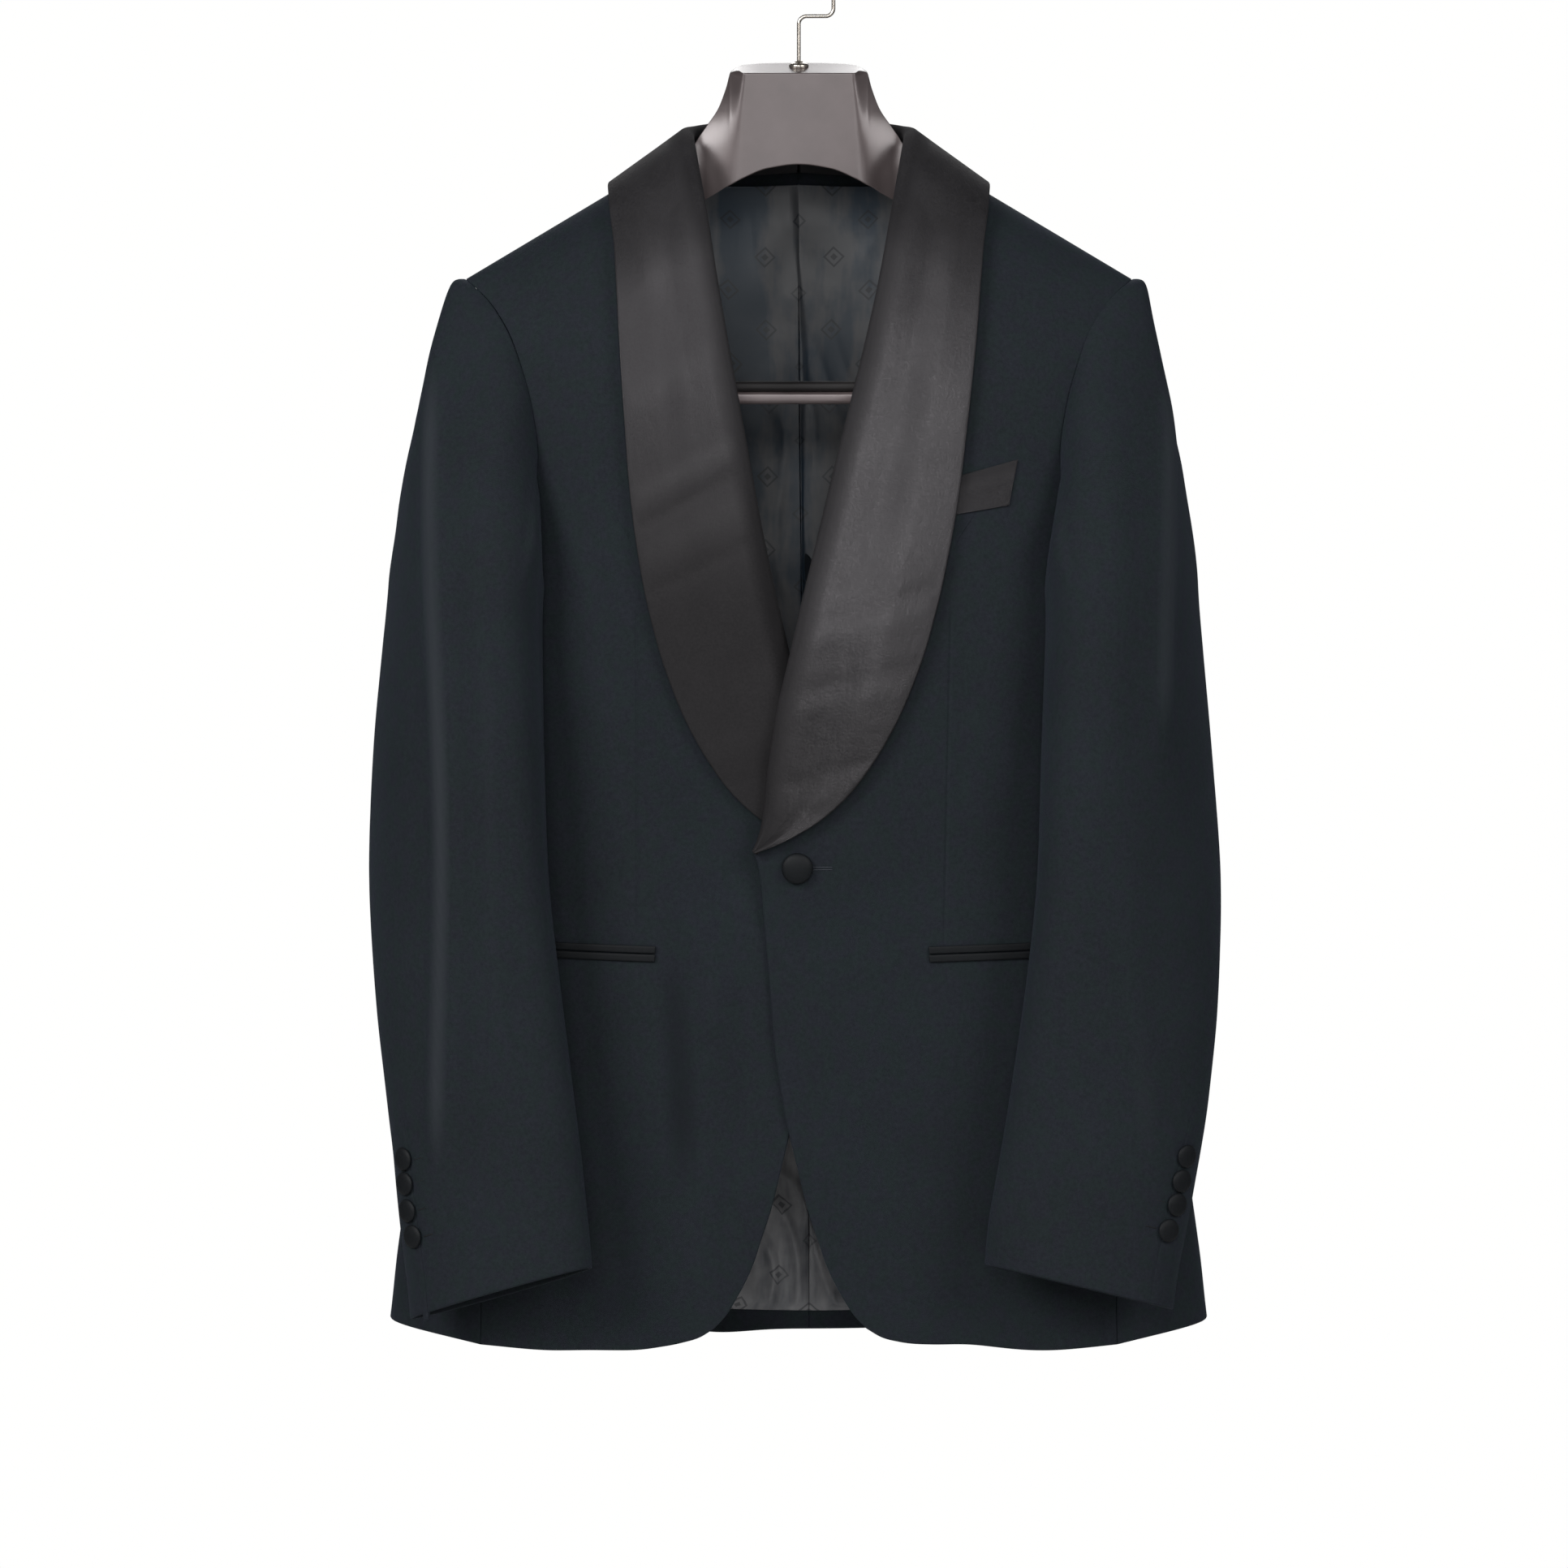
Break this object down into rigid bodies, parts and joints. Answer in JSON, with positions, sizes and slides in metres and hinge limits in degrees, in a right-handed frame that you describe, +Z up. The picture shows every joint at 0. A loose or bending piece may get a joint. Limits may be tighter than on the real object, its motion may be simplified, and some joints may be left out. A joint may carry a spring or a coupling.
{
  "type": "tuxedo jacket on hanger",
  "caption": "Single-breasted dinner jacket with a satin shawl collar, closed by its front button and hanging on a broad shaped hanger with a trouser bar.",
  "frame": {"origin": "the point inside the top of the hook's bend where the hook bears on the rail", "axes": "+Z up along the hook's stem; -Y the way the jacket's front faces; +X to the right of someone who looks at the front, which is the wearer's left"},
  "size_m": [0.5449, 0.2045, 0.8987],
  "materials": {
    "wool": "fine dark wool, matt",
    "satin": "satin facing, soft sheen",
    "lining": "woven lining, smooth",
    "hanger_lacquer": "dark gloss",
    "hook_metal": "bright wire",
    "bar_grip": "dark flocking"
  },
  "bodies": {
    "root": {"back_left": "wool", "back_right": "wool", "button_cuff_left_1": "satin", "button_cuff_left_2": "satin", "button_cuff_left_3": "satin", "button_cuff_left_4": "satin", "button_cuff_right_1": "satin", "button_cuff_right_2": "satin", "button_cuff_right_3": "satin", "button_cuff_right_4": "satin", "button_front": "satin", "collar_left": "satin", "collar_right": "satin", "front_left": "wool", "front_right": "wool", "hanger_bar": "hanger_lacquer", "hanger_bar_grip": "bar_grip", "hanger_body": "hanger_lacquer", "hanger_ferrule": "hook_metal", "hanger_hook": "hook_metal", "hanger_post_left": "hanger_lacquer", "hanger_post_right": "hanger_lacquer", "jet_lower_left": "satin", "jet_lower_right": "satin", "jet_upper_left": "satin", "jet_upper_right": "satin", "lining_back_left": "lining", "lining_back_right": "lining", "side_left": "wool", "side_right": "wool", "sleeve_top_left": "wool", "sleeve_top_right": "wool", "sleeve_under_left": "wool", "sleeve_under_right": "wool", "welt_breast": "satin"}
  },
  "joints": []
}
